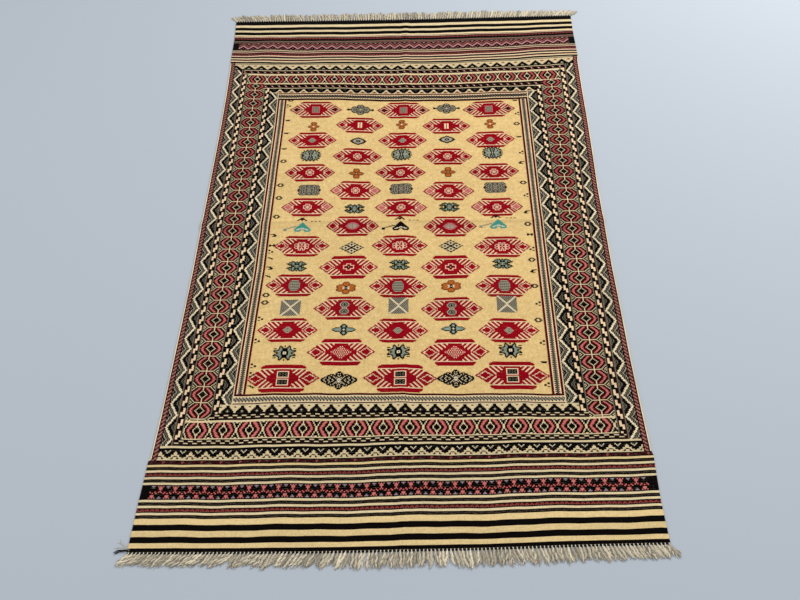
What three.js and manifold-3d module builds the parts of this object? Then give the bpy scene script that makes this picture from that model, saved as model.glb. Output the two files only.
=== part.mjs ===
// A soumak rug lying flat: one woven cloth, and at each end a twined edging that holds the warp fringe.
// Millimetres, +Z up. X runs across the rug and +Y from its near end to its far end. The floor is z = 0.
import * as THREE from "three";
import Module from "manifold-3d";

const wasm = await Module();
wasm.setup();

// Driving dimensions of the cloth
const CLOTH_LONG = 1900;
const CLOTH_HALF_WIDE = 612;
const CLOTH_THICK = 3;
const COLUMN_PITCH = 52;
const ROW_PITCH = 58;
const CREASE_HALF_WIDE = 24;
const CREASE_POINTS = [-24, -12, 0, 12, 24];
const CLOSEST_POINTS = 9;
const EDGE_STEP_LONG = 10;
const EDGE_STEP_LEAD = 7;

// Driving dimensions of the fringes
const EDGING_GAP = 0.3;
const EDGING_WIDE = 5;
const EDGING_THICK = 3.4;
const STRANDS_PER_END = 140;
const NEAR_STRAND_LONG = 41;
const FAR_STRAND_LONG = 43;
const STRAND_LENGTH_SPREAD = 3;
const SIDE_MARGIN = 4;

// Loose clumps in the fringes: how far each wave leans the strands, in radians, and how it runs along them
const CLUMP_WAVES = [
  { lean: 0.05, perStrand: 0.9, start: 0 },
  { lean: 0.03, perStrand: 0.37, start: 1.3 },
];
const STRAND_OWN_LEAN = 0.015;

// Numbers of a plain repeatable hash, which makes each strand a little different from its neighbours
const HASH_PER_STRAND = 12.9898;
const HASH_PER_CHANNEL = 78.233;
const HASH_SPREAD = 43758.5453;

// The woven edges, measured from the rug's middle line. "along" is the distance from the near end.
// The patterned part is drawn in more than the plain ends, so the edge steps where one meets the other.
const SIDE_EDGE = [
  { along: 0, left: -623.5, right: 626.4 },
  { along: 102, left: -620.9, right: 622.6 },
  { along: 189, left: -617.4, right: 624.5 },
  { along: 214, left: -617.0, right: 625.2 },
  { along: 221, left: -612.6, right: 622.4 },
  { along: 344, left: -608.0, right: 618.1 },
  { along: 490, left: -605.3, right: 613.9 },
  { along: 635, left: -602.8, right: 612.4 },
  { along: 781, left: -601.4, right: 610.2 },
  { along: 926, left: -602.0, right: 610.8 },
  { along: 1072, left: -602.0, right: 610.4 },
  { along: 1217, left: -602.4, right: 614.2 },
  { along: 1362, left: -603.3, right: 617.0 },
  { along: 1508, left: -605.6, right: 618.2 },
  { along: 1660, left: -610.2, right: 620.9 },
  { along: 1668, left: -612.4, right: 623.0 },
  { along: 1799, left: -614.9, right: 621.8 },
  { along: 1903, left: -621.4, right: 624.0 },
];

// The two ends are not quite straight: how far along each end's edge lies at seven places across.
const END_EDGE = [
  { across: -600, near: 0, far: 1900.1 },
  { across: -400, near: -1.9, far: 1898.5 },
  { across: -200, near: -3.0, far: 1897.1 },
  { across: 0, near: -1.4, far: 1896.2 },
  { across: 200, near: 0, far: 1898.2 },
  { across: 400, near: 4.2, far: 1900.2 },
  { across: 600, near: 6.3, far: 1902.4 },
];

// The rug was stored folded in four, so a soft ridge runs along its middle and another across it.
const CREASES = [
  { direction: "lengthwise", at: 10, high: 2.2 },
  { direction: "crosswise", at: 948, high: 2.8 },
];

// Low places where the cloth stands off the floor: centre, reach and height of each.
const SWELLS = [
  { across: -470, along: 1735, reachX: 105, reachY: 95, high: 6 },
  { across: -215, along: 1700, reachX: 130, reachY: 80, high: 3 },
  { across: 470, along: 1715, reachX: 150, reachY: 95, high: 5 },
  { across: -330, along: 1180, reachX: 170, reachY: 120, high: 2.5 },
  { across: 300, along: 690, reachX: 160, reachY: 130, high: 2.5 },
  { across: 505, along: 1240, reachX: 90, reachY: 240, high: 3 },
  { across: -520, along: 560, reachX: 75, reachY: 210, high: 3 },
  { across: -290, along: 130, reachX: 150, reachY: 70, high: 2.5 },
  { across: 350, along: 150, reachX: 170, reachY: 75, high: 3 },
];

// How far the strands lean to the right, in radians, from the left corner (share 0) to the right one.
const STRAND_LEAN = [
  { share: 0, near: -0.86, far: -0.86 },
  { share: 0.03, near: -0.78, far: -0.6 },
  { share: 0.12, near: -0.74, far: -0.36 },
  { share: 0.3, near: -0.62, far: -0.16 },
  { share: 0.42, near: -0.3, far: -0.05 },
  { share: 0.55, near: 0.02, far: 0.02 },
  { share: 0.7, near: 0.22, far: 0.1 },
  { share: 0.82, near: 0.34, far: 0.34 },
  { share: 0.97, near: 0.5, far: 0.58 },
  { share: 1, near: 0.72, far: 0.82 },
];

// A strand's flat underside lies on the floor: how wide and high it is, and how it turns, from root to tip.
const STRAND_SECTIONS = [
  { share: 0, turn: 0.72, wide: 4.2, high: 2.6 },
  { share: 0.38, turn: 0.92, wide: 4.4, high: 3.0 },
  { share: 0.72, turn: 1.08, wide: 3.6, high: 2.6 },
  { share: 1, turn: 1.16, wide: 2.0, high: 1.5 },
];

// Looks a value up in a table, in a straight line between its rows.
function lookUp(table, keyColumn, valueColumn, key) {
  let index = 1;
  while (index < table.length - 1 && table[index][keyColumn] < key) {
    index += 1;
  }
  const before = table[index - 1];
  const after = table[index];
  const share = (key - before[keyColumn]) / (after[keyColumn] - before[keyColumn]);
  return before[valueColumn] + (after[valueColumn] - before[valueColumn]) * share;
}

// One at the middle, falling smoothly to nothing at a distance of one.
function softBump(distance) {
  return distance >= 1 ? 0 : 0.5 + 0.5 * Math.cos(Math.PI * distance);
}

// How far the cloth's underside stands above the floor.
function relief(across, along) {
  let height = 0;
  for (const crease of CREASES) {
    const offset = crease.direction === "lengthwise" ? across - crease.at : along - crease.at;
    height = Math.max(height, crease.high * softBump(Math.abs(offset) / CREASE_HALF_WIDE));
  }
  for (const swell of SWELLS) {
    const offset = Math.hypot((across - swell.across) / swell.reachX, (along - swell.along) / swell.reachY);
    height = Math.max(height, swell.high * softBump(offset));
  }
  return height;
}

// Even steps between two ends, with extra ones at the places given, none closer than a few millimetres.
function stations(start, end, pitch, extras) {
  const count = Math.round((end - start) / pitch);
  const places = Array.from({ length: count + 1 }, (_, step) => start + ((end - start) * step) / count);
  const kept = places.filter((place) => extras.every((extra) => Math.abs(place - extra) > CLOSEST_POINTS));
  return [...kept, ...extras].sort((a, b) => a - b);
}

// A closed solid between an upper and a lower grid of points, which share their plan.
function sheetSolid(columnCount, rowCount, pointAt) {
  const positions = [];
  const triangles = [];
  const level = columnCount * rowCount;
  const vertex = (upper, column, row) => (upper ? 0 : level) + row * columnCount + column;
  for (const upper of [true, false]) {
    for (let row = 0; row < rowCount; row += 1) {
      for (let column = 0; column < columnCount; column += 1) {
        positions.push(...pointAt(column, row, upper));
      }
    }
  }
  const quad = (a, b, c, d) => triangles.push(a, b, c, a, c, d);
  for (let row = 0; row < rowCount - 1; row += 1) {
    for (let column = 0; column < columnCount - 1; column += 1) {
      const right = column + 1;
      const far = row + 1;
      const upperNear = [vertex(true, column, row), vertex(true, right, row)];
      const upperFar = [vertex(true, right, far), vertex(true, column, far)];
      quad(...upperNear, ...upperFar);
      const lowerFar = [vertex(false, column, far), vertex(false, right, far)];
      const lowerNear = [vertex(false, right, row), vertex(false, column, row)];
      quad(...lowerFar, ...lowerNear);
    }
  }
  for (let column = 0; column < columnCount - 1; column += 1) {
    const right = column + 1;
    const last = rowCount - 1;
    quad(vertex(false, column, 0), vertex(false, right, 0), vertex(true, right, 0), vertex(true, column, 0));
    const upperEnd = [vertex(true, column, last), vertex(true, right, last)];
    const lowerEnd = [vertex(false, right, last), vertex(false, column, last)];
    quad(...upperEnd, ...lowerEnd);
  }
  for (let row = 0; row < rowCount - 1; row += 1) {
    const far = row + 1;
    const last = columnCount - 1;
    quad(vertex(true, 0, row), vertex(true, 0, far), vertex(false, 0, far), vertex(false, 0, row));
    const lowerRight = [vertex(false, last, row), vertex(false, last, far)];
    const upperRight = [vertex(true, last, far), vertex(true, last, row)];
    quad(...lowerRight, ...upperRight);
  }
  return geometryFrom(positions, triangles);
}

// A closed solid through rings of points, capped at both ends.
function loftSolid(rings) {
  const sides = rings[0].length;
  const triangles = [];
  for (let ring = 0; ring < rings.length - 1; ring += 1) {
    for (let side = 0; side < sides; side += 1) {
      const next = (side + 1) % sides;
      const here = ring * sides;
      const there = here + sides;
      triangles.push(here + side, here + next, there + next, here + side, there + next, there + side);
    }
  }
  const last = (rings.length - 1) * sides;
  for (let side = 1; side < sides - 1; side += 1) {
    triangles.push(0, side + 1, side);
    triangles.push(last, last + side, last + side + 1);
  }
  return geometryFrom(rings.flat(2), triangles);
}

function geometryFrom(positions, triangles) {
  const geometry = new THREE.BufferGeometry();
  geometry.setAttribute("position", new THREE.Float32BufferAttribute(positions, 3));
  geometry.setIndex(triangles);
  return geometry;
}

function toManifold(geometry) {
  const vertProperties = new Float32Array(geometry.attributes.position.array);
  const triVerts = new Uint32Array(geometry.index.array);
  return new wasm.Manifold(new wasm.Mesh({ numProp: 3, vertProperties, triVerts }));
}

function fromManifold(solid) {
  const mesh = solid.getMesh();
  return geometryFrom(Array.from(mesh.vertProperties), Array.from(mesh.triVerts));
}

function creaseStations(direction) {
  const { at } = CREASES.find((crease) => crease.direction === direction);
  return CREASE_POINTS.map((offset) => at + offset);
}

// The columns of points across the rug, as shares from -1 at the left edge to 1 at the right one.
function sharesAcross() {
  const places = stations(-CLOTH_HALF_WIDE, CLOTH_HALF_WIDE, COLUMN_PITCH, creaseStations("lengthwise"));
  return places.map((place) => place / CLOTH_HALF_WIDE);
}

// The rows of points along the rug, as shares from 0 at the near end to 1 at the far end.
function sharesAlong() {
  const isStep = (row, index) => index > 0 && row.along - SIDE_EDGE[index - 1].along < EDGE_STEP_LONG;
  const stepRows = SIDE_EDGE.filter(isStep).flatMap((row) => [row.along - EDGE_STEP_LEAD, row.along]);
  const places = stations(0, CLOTH_LONG, ROW_PITCH, [...stepRows, ...creaseStations("crosswise")]);
  return places.map((place) => place / CLOTH_LONG);
}

// The place on the floor of a share across the cloth and a share along it.
function clothPlan(shareAcross, shareAlong) {
  const side = shareAcross < 0 ? "left" : "right";
  const x = Math.abs(shareAcross) * lookUp(SIDE_EDGE, "along", side, shareAlong * CLOTH_LONG);
  const near = lookUp(END_EDGE, "across", "near", x);
  const far = lookUp(END_EDGE, "across", "far", x);
  return [x, near + (far - near) * shareAlong];
}

// The cloth: borders, field and plain ends are woven in one piece.
function clothGeometry() {
  const columns = sharesAcross();
  const rows = sharesAlong();
  const pointAt = (column, row, upper) => {
    const [x, y] = clothPlan(columns[column], rows[row]);
    const lift = relief(x, y);
    return [x, y, upper ? lift + CLOTH_THICK : lift];
  };
  return sheetSolid(columns.length, rows.length, pointAt);
}

// The same small offset each time for the same strand, between -1 and 1.
function unevenness(index, channel) {
  const wave = Math.sin(index * HASH_PER_STRAND + channel * HASH_PER_CHANNEL) * HASH_SPREAD;
  return 2 * (wave - Math.floor(wave)) - 1;
}

// How far a strand leans to the right, in radians: the general lean with loose clumps in it.
function strandLean(end, share, index) {
  const waves = CLUMP_WAVES.map((wave) => wave.lean * Math.sin(index * wave.perStrand + wave.start));
  const clump = waves.reduce((sum, wave) => sum + wave, 0);
  return lookUp(STRAND_LEAN, "share", end, share) + clump + STRAND_OWN_LEAN * unevenness(index, 1);
}

// One strand: three sides, its flat side on the floor, curving a little from root to tip.
function strandGeometry(root, outward, lean, length) {
  const place = { ...root };
  let reached = 0;
  const rings = STRAND_SECTIONS.map((section) => {
    const angle = lean * section.turn;
    const step = (section.share - reached) * length;
    reached = section.share;
    place.x += Math.sin(angle) * step;
    place.y += outward * Math.cos(angle) * step;
    const halfX = (Math.cos(angle) * section.wide) / 2;
    const halfY = (-outward * Math.sin(angle) * section.wide) / 2;
    const corners = [
      [place.x - halfX, place.y - halfY, 0],
      [place.x + halfX, place.y + halfY, 0],
      [place.x, place.y, section.high],
    ];
    return outward > 0 ? corners.reverse() : corners;
  });
  return loftSolid(rings);
}

// The narrow twined edging along one end of the cloth, a hair's breadth away from it.
function edgingGeometry(shareAlong, outward) {
  const columns = sharesAcross();
  const edgingPoint = (column, row, upper) => {
    const [x, y] = clothPlan(columns[column], shareAlong);
    const isInner = outward > 0 ? row === 0 : row === 1;
    const offset = EDGING_GAP + (isInner ? 0 : EDGING_WIDE);
    return [x, y + outward * offset, upper ? EDGING_THICK : 0];
  };
  return sheetSolid(columns.length, 2, edgingPoint);
}

// One end's fringe: the edging with the strands rooted in it.
function fringeGeometry(end, strandLong) {
  const outward = end === "near" ? -1 : 1;
  const shareAlong = end === "near" ? 0 : 1;
  const [leftEnd] = clothPlan(-1, shareAlong);
  const [rightEnd] = clothPlan(1, shareAlong);
  const firstRoot = leftEnd + SIDE_MARGIN;
  const lastRoot = rightEnd - SIDE_MARGIN;
  let fringe = toManifold(edgingGeometry(shareAlong, outward));
  for (let index = 0; index < STRANDS_PER_END; index += 1) {
    const share = index / (STRANDS_PER_END - 1);
    const x = firstRoot + (lastRoot - firstRoot) * share;
    const y = lookUp(END_EDGE, "across", end, x) + outward * (EDGING_GAP + EDGING_WIDE / 2);
    const length = strandLong + STRAND_LENGTH_SPREAD * unevenness(index, 2);
    fringe = fringe.add(toManifold(strandGeometry({ x, y }, outward, strandLean(end, share, index), length)));
  }
  return fromManifold(fringe);
}

function namedMesh(name, geometry, material) {
  const mesh = new THREE.Mesh(geometry, material);
  mesh.name = name;
  return mesh;
}

// Wool in many colours, which average to a warm brown, and undyed cotton warp.
const wool = new THREE.MeshStandardMaterial({ color: 0xb48a62, roughness: 0.95, metalness: 0 });
const nearCotton = new THREE.MeshStandardMaterial({ color: 0xcabfa6, roughness: 0.95, metalness: 0 });
const farCotton = new THREE.MeshStandardMaterial({ color: 0xd0c8b4, roughness: 0.95, metalness: 0 });

const rug = new THREE.Group();
rug.add(namedMesh("rug_cloth", clothGeometry(), wool));
rug.add(namedMesh("fringe_near", fringeGeometry("near", NEAR_STRAND_LONG), nearCotton));
rug.add(namedMesh("fringe_far", fringeGeometry("far", FAR_STRAND_LONG), farCotton));

// The origin is on the floor under the middle of the whole rug, fringes included.
const middle = new THREE.Box3().setFromObject(rug).getCenter(new THREE.Vector3());
rug.children.forEach((mesh) => mesh.position.set(-middle.x, -middle.y, 0));

export default rug;
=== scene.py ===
"""The soumak rug in wool and cotton: every woven row is a raised run of yarn, coloured from charts.

Sizes in the tables are millimetres in the CAD's own plan: across from the rug's middle line and along from
its near end. They are turned into metres in the row frame when a mesh is made.
"""
import math

import bpy
import numpy as np
from mathutils import Matrix, Vector


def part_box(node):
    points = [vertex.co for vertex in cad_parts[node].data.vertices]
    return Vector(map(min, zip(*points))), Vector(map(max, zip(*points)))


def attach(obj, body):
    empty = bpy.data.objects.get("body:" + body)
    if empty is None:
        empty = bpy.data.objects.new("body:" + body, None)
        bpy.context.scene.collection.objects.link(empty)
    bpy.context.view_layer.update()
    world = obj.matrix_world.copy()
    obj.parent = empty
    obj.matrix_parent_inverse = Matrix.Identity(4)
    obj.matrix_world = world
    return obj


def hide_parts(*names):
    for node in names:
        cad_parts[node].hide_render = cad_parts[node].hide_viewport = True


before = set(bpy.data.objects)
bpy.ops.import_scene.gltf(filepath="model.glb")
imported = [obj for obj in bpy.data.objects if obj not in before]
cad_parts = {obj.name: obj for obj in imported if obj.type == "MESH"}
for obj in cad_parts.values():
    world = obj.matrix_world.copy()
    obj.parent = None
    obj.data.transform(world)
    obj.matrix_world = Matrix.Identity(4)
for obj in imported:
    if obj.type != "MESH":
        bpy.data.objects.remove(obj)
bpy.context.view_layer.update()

# The CAD's plan, moved so that its corner meets the frame's
PLAN_LEFT = -623.5
PLAN_NEAREST = -2.97
CLOTH_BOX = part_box("rug_cloth")
SHIFT_ACROSS = CLOTH_BOX[0].x * 1000 - PLAN_LEFT
SHIFT_ALONG = CLOTH_BOX[0].y * 1000 - PLAN_NEAREST

# How many stitches and rows each zone of the rug has
BORDER_STITCHES = 72
FIELD_STITCHES = 272
ALL_STITCHES = FIELD_STITCHES + 2 * BORDER_STITCHES
NEAR_BAND_ROWS = 78
NEAR_BORDER_ROWS = 62
FIELD_ROWS = 390
FIELD_MIDDLE_ROW = 203
FAR_BORDER_ROWS = 70
FAR_BAND_ROWS = 86
FIELD_START = NEAR_BAND_ROWS + NEAR_BORDER_ROWS
FIELD_END = FIELD_START + FIELD_ROWS
FAR_BORDER_END = FIELD_END + FAR_BORDER_ROWS
ALL_ROWS = FAR_BORDER_END + FAR_BAND_ROWS

# Heights in the cloth, its mesh, the slant of the ridges and the longest run of one yarn in stitches;
# it is shorter near the lengthwise crease
GROUND_LOW = 0.1
GROUND_HIGH = 1.9
GROUND_COLUMNS = 105
GROUND_LINES = 230
ROW_FOOT = 2.15
RIDGE_HIGH = 0.8
STRIPE_RIDGE_HIGH = 0.45
STITCH_SLANT = 0.35
LONGEST_RUN = 6
LONGEST_RUN_ON_CREASE = 2
NEAR_CREASE = 10
RIDGE_SHARES = (0.0, 0.3, 0.7, 1.0)

# About how wide a stitch and how long a row is
STITCH_WIDE = 2.89
ROW_LONG = 2.76

# The yarns, as they look in daylight, by the letter that stands for each in the charts
YARNS = {
    "K": (8, 4, 3),
    "h": (36, 18, 12),
    "C": (228, 206, 162),
    "W": (238, 220, 184),
    "N": (226, 198, 142),
    "c": (244, 213, 172),
    "p": (234, 190, 160),
    "P": (206, 116, 108),
    "r": (172, 86, 80),
    "s": (182, 124, 122),
    "R": (154, 4, 22),
    "D": (90, 6, 12),
    "M": (62, 14, 20),
    "w": (146, 82, 74),
    "o": (180, 118, 106),
    "G": (116, 108, 90),
    "e": (58, 50, 42),
    "y": (178, 168, 144),
    "g": (142, 150, 130),
    "d": (80, 90, 66),
    "L": (146, 130, 136),
    "T": (128, 150, 138),
    "t": (78, 160, 144),
    "O": (188, 104, 40),
    "B": (120, 66, 34),
}
LETTERS = " " + "".join(YARNS)

# The woven edges: how far the left and the right one lie from the middle line, along the rug
SIDE_ALONG = [0, 102, 189, 214, 221, 344, 490, 635, 781, 926, 1072, 1217, 1362, 1508, 1660, 1668, 1799, 1903]
SIDE_LEFT = [
    -623.5, -620.9, -617.4, -617.0, -612.6, -608.0, -605.3, -602.8, -601.4,
    -602.0, -602.0, -602.4, -603.3, -605.6, -610.2, -612.4, -614.9, -621.4,
]
SIDE_RIGHT = [
    626.4, 622.6, 624.5, 625.2, 622.4, 618.1, 613.9, 612.4, 610.2,
    610.8, 610.4, 614.2, 617.0, 618.2, 620.9, 623.0, 621.8, 624.0,
]

# The field's side lines, along the rug
FIELD_SIDE_ALONG = [0, 392, 490, 635, 781, 926, 1362, 1459, 1903]
FIELD_LEFT = [-408, -399.5, -398.1, -394.7, -390.9, -391.8, -391.8, -393.7, -400]
FIELD_RIGHT = [400, 394.7, 394.7, 394.7, 394.7, 394.7, 394.7, 394.7, 398]

# Where the lines between zones lie, at seven places across, from the near end to the far one
LINE_ACROSS = [-600, -400, -200, 0, 200, 400, 600]
ZONE_LINES = [
    (0, [0, -1.9, -3.0, -1.4, 0, 4.2, 6.3]),
    (NEAR_BAND_ROWS, [216.2, 216.7, 217.2, 220.1, 221.1, 222.1, 223.0]),
    (FIELD_START, [391.8, 391.8, 392.7, 387.9, 385.0, 381.1, 380.1]),
    (FIELD_START + FIELD_MIDDLE_ROW, [954.2, 952.2, 950.3, 947.4, 944.5, 942.5, 941.6]),
    (FIELD_END, [1484.6, 1481.7, 1475.9, 1463.3, 1463.3, 1467.1, 1474.9]),
    (FAR_BORDER_END, [1672.7, 1664.5, 1661.1, 1658.2, 1660.6, 1667.4, 1680.5]),
    (ALL_ROWS, [1900.1, 1898.5, 1897.1, 1896.2, 1898.2, 1900.2, 1902.4]),
]

# The folds of the solid cloth: two soft ridges from storage and some low swells
CREASE_HALF_WIDE = 24
LENGTHWISE_CREASE = (10, 2.2)
CROSSWISE_CREASE = (948, 2.8)
CREASE_STITCH = 211
SWELLS = [
    (-470, 1735, 105, 95, 6),
    (-215, 1700, 130, 80, 3),
    (470, 1715, 150, 95, 5),
    (-330, 1180, 170, 120, 2.5),
    (300, 690, 160, 130, 2.5),
    (505, 1240, 90, 240, 3),
    (-520, 560, 75, 210, 3),
    (-290, 130, 150, 70, 2.5),
    (350, 150, 170, 75, 3),
]


# Plan and relief

def soft_bump(distance):
    """One at the middle, falling smoothly to nothing at a distance of one."""
    return np.where(distance < 1, 0.5 + 0.5 * np.cos(np.pi * np.minimum(distance, 1)), 0.0)


def relief(across, along):
    """How far the cloth's underside stands above the floor."""
    height = LENGTHWISE_CREASE[1] * soft_bump(np.abs(across - LENGTHWISE_CREASE[0]) / CREASE_HALF_WIDE)
    other = CROSSWISE_CREASE[1] * soft_bump(np.abs(along - CROSSWISE_CREASE[0]) / CREASE_HALF_WIDE)
    height = np.maximum(height, other)
    for centre_across, centre_along, reach_across, reach_along, high in SWELLS:
        offset = np.hypot((across - centre_across) / reach_across, (along - centre_along) / reach_along)
        height = np.maximum(height, high * soft_bump(offset))
    return height


def across_at(stitch, along):
    """The distance from the middle line of a stitch, counted from the left edge."""
    left = np.interp(along, SIDE_ALONG, SIDE_LEFT)
    right = np.interp(along, SIDE_ALONG, SIDE_RIGHT)
    inner_left = np.interp(along, FIELD_SIDE_ALONG, FIELD_LEFT)
    inner_right = np.interp(along, FIELD_SIDE_ALONG, FIELD_RIGHT)
    in_left = left + (inner_left - left) * stitch / BORDER_STITCHES
    in_field = inner_left + (inner_right - inner_left) * (stitch - BORDER_STITCHES) / FIELD_STITCHES
    beyond = stitch - BORDER_STITCHES - FIELD_STITCHES
    in_right = inner_right + (right - inner_right) * beyond / BORDER_STITCHES
    return np.where(stitch <= BORDER_STITCHES, in_left, np.where(beyond <= 0, in_field, in_right))


def along_at(row, across):
    """The distance from the near end of a row, counted from there."""
    lines = [np.interp(across, LINE_ACROSS, places) for _, places in ZONE_LINES]
    along = lines[0] + 0 * row
    for index in range(1, len(ZONE_LINES)):
        before = ZONE_LINES[index - 1][0]
        share = (row - before) / (ZONE_LINES[index][0] - before)
        along = np.where(share > 0, lines[index - 1] + (lines[index] - lines[index - 1]) * share, along)
    return along


def hand_waver(stitch, row):
    """Small wanderings of the rows, which are beaten down by hand; none at the rug's ends."""
    calm = np.clip(np.minimum(row, ALL_ROWS - row) / 12, 0, 1)
    slow = 0.9 * np.sin(stitch * 0.061 + row * 0.013) + 0.5 * np.sin(stitch * 0.17 - row * 0.031 + 2)
    quick = 0.22 * np.sin(stitch * 0.71 + row * 0.37)
    return calm * (slow + quick)


def plan_at(stitch, row):
    """Stitch and row counts to the place on the floor, across and along, in millimetres."""
    stitch, row = np.broadcast_arrays(np.asarray(stitch, float), np.asarray(row, float))
    along = along_at(row, np.zeros_like(row))
    for _ in range(3):
        across = across_at(stitch, along)
        along = along_at(row, across)
    return across, along + hand_waver(stitch, row)


def to_frame(across, along, high):
    """Millimetres in the plan to metres in the row frame."""
    points = np.stack([across + SHIFT_ACROSS, along + SHIFT_ALONG, high], axis=-1)
    return points * 0.001


# Charts of the repeats. A letter is one stitch of that yarn. The near border's charts and both guards' start
# at the field, the far border's other charts outside.

# A quarter of the side octagon and of the end one: the middle line first, each line from the middle outwards
SIDE_OCTAGON = """
KKKKCKDDPPD
KKKCKKDPPDD
KKCKKDDPPDK
KCKKDDPPDKK
CKKDDPPDKKC
CKDDPPDKKCK
CKDPPDKKCKK
CKDDKKKCKKC
CCCCCCCKKCK
""".split()
END_OCTAGON = """
KKKCKKDPPDKC
KKKCKKDPPDKC
KKCKKDPPDKKC
KCKKDPPPDKCK
CCKKDPPDKKCK
CKKDPPPDKCKK
CKDPPPDKKCKK
CKDPPDKKCKKC
""".split()

SMALL_TRIANGLES = """
CCCCCCCCCCCCC
CCCCCKKKCCCCC
KCCCCKKKCCCCK
CCCCKKKKKCCCC
CCCKKKKKKKCCC
CCKKKKGKKKKCC
CKKKKGCGKKKKC
CKKKKKGKKKKKC
KKKKKKKKKKKKK
""".split()

LARGE_TRIANGLES = """
KKKKKKKKKKKKK
KKKKKKKKKKKKK
KKWKKKKKKKKWK
KWKKKKKCKKKKW
WKKKKKCCCKKKK
KKKKKKCCCKKKK
KKKKCCCCCCCKK
KKKKCCKKKCCKK
KKCCCKCCCKCCC
CCCCKKCCCKKCC
CCCCCCCCCCCCC
""".split()

FAR_OUTER_LINES = ["C", "h"]
FAR_LARGE_TRIANGLES = """
CCCCCCCCCCCCCCC
CCCCCCCCCCCCCCC
BCCCCCCKCCCCCCB
BBCCCCKKKCCCCBB
CCCCCKKKKKCCCCC
CCCCKKKKKKKCCCC
CCCKKKKKKKKKCCC
CCKKKKKCKKKKKCC
CKKKKKCGCKKKKKC
KKKKKKKKKKKKKKK
KKKKKKKKKKKKKKK
""".split()
FAR_SMALL_TRIANGLES = """
KKKKKKKKKKKKKK
eeKKKKKKKKKKee
eeKKKKCCKKKKee
eKKKKCCCCKKKKe
KKKKKCCCCKKKKK
KKKKCCBBCCKKKK
KKKCCBBBBCCKKK
KKCCBBBBBBCCKK
CCCCCCCCCCCCCC
""".split()
FAR_INNER_LINES = ["D", "D", "C", "pCh", "hKh", "KGe", "eKG", "hKh", "Cph", "C", "hKK", "K", "D"]

DIAMOND_BAND = """
KKKKKKKKKKKK
KPKPKPKKLLLK
KKPPPKKKKLKK
KKPPPKKKKKKK
KKKPKKKKKKKK
KDDPDDKKKKKK
DKPKPKDPKKKP
PKKKKKPDDPDD
KKKKKKKKKDKK
KKKKKKKKPPPK
KKKLKKKKPPPK
KKLLLKKPKPKP
KKKKKKKKKKKK
""".split()

FAR_DIAMOND_BAND = """
KKwwKKKKKKww
KKKwwKKKKwwK
KKKKKKsKKKKK
sKKKKsssKKKK
KKKKsssssKKK
KKKsssKsssKK
KKsssKKKsssK
KsssKKwKKsss
sssKKwwwKKss
ssKKwwKwwKKs
sKKwwKKKwwKK
KKwwKKKKKwwK
KwwKKKsKKKww
wwKKKsssKKKw
wKKKKKKKKKKK
""".split()

ZIGZAG_BAND = """
KKKK
wDDD
DwDw
KKKK
""".split()

DOTTED_BAND = """
KKKKKKKKKKKKKKKK
MMMeMMMMKMMMwwMM
MMeeMMMMKMMMwMMM
KKKKKKKKKKKKKKKK
""".split()

GREY_BAND = """
KKKKKK
eKehee
KKKKKK
""".split()

# How many stitches the black block at each edge of a diamond band has
EDGE_BLOCK_WIDE = 7

# The plain ends, from the border outwards: the rows of each band and its chart
NEAR_BANDS = [
    (4, DOTTED_BAND), (2, ["N"]), (3, GREY_BAND), (2, ["C"]), (4, ZIGZAG_BAND), (2, ["C"]),
    (3, GREY_BAND), (2, ["C"]), (13, DIAMOND_BAND), (2, ["C"]), (3, GREY_BAND), (2, ["C"]),
    (4, ZIGZAG_BAND), (2, ["C"]), (3, GREY_BAND), (5, ["N"]), (5, ["K"]), (5, ["N"]), (5, ["K"]),
    (4, ["N"]), (3, ["K"]),
]
FAR_BANDS = [
    (3, ["K"]), (2, ["C"]), (3, ["w", "K", "M"]), (2, ["C"]), (3, ["K"]), (2, ["p"]), (5, ZIGZAG_BAND),
    (2, ["w", "p"]), (2, ["K"]), (2, ["C", "G"]), (15, FAR_DIAMOND_BAND), (2, ["G", "K"]), (2, ["w", "G"]),
    (3, ["K"]), (5, ZIGZAG_BAND), (2, ["p", "K"]), (3, ["C"]), (6, ["K"]), (4, ["C"]), (6, ["K"]), (5, ["C"]),
    (7, ["K"]),
]

# The frames of the border, from the outer one to the inner one: where each starts, in stitches at the sides
# and in rows at the ends, counted from outside
SIDE_STARTS = [0, 6, 17, 23, 44, 51, 62]
NEAR_STARTS = [0, 0, 13, 19, 37, 43, 52]
FAR_STARTS = [0, 0, 13, 21, 39, 48, 57]

NEAR_INNER_LINES = ["DDD", "KKK", "ccc", "CKC", "yGK", "KyG", "GKy", "CKC", "ccc", "KKK"]
NEAR_GUARD = ["K", "CCCCKKKK", "h", "KKKKCCCC", "h", "K"]
FAR_GUARD = ["K", "KKKKKKww", "KKKKKpwK", "KKKKwpKK", "KKKwwKKK", "K"]
FAR_INNER_GUARD = ["C"] + FAR_GUARD + ["K", "C"]
FAR_OUTER_GUARD = ["C"] + FAR_GUARD + ["C"]
OUTER_GUARD_SHIFT = 3

# Where the octagons' middles lie in their frames, and how often they repeat
SIDE_OCTAGON_MIDDLE = 10
NEAR_OCTAGON_MIDDLE = 8
FAR_OCTAGON_MIDDLE = 9
SIDE_OCTAGON_REPEAT = 16
END_OCTAGON_REPEAT = 23
FIRST_END_OCTAGON = 34

# The zigzags along the sides: width in stitches, rows in a repeat, and whether the black is inside
OUTER_ZIGZAG = (9, 23, True)
INNER_ZIGZAG = (10, 24, False)
ZIGZAG_MARGIN = 0.6
ZIGZAG_LINE_REACH = 1.1
ZIGZAG_BLACK_REACH = 4.7
BLACK_SIDE_HATCH = "GK"
CREAM_SIDE_HATCH = "KGKyK"

# The guards and the rope along the sides: the guards' light blocks by their first row and the one after them
GUARD_WIDE = 4
GUARD_REPEAT = 11
OUTER_BLOCK = (0, 5)
INNER_BLOCK = (3, 9)
ROPE_WIDE = 5
ROPE_REPEAT = 4
RIGHT_SIDE_PHASE = 6

# The rose yarn of the side octagons is darker in the upper part of the rug, counted in rows of the field
DARKER_ROSE_FROM = 190

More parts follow.
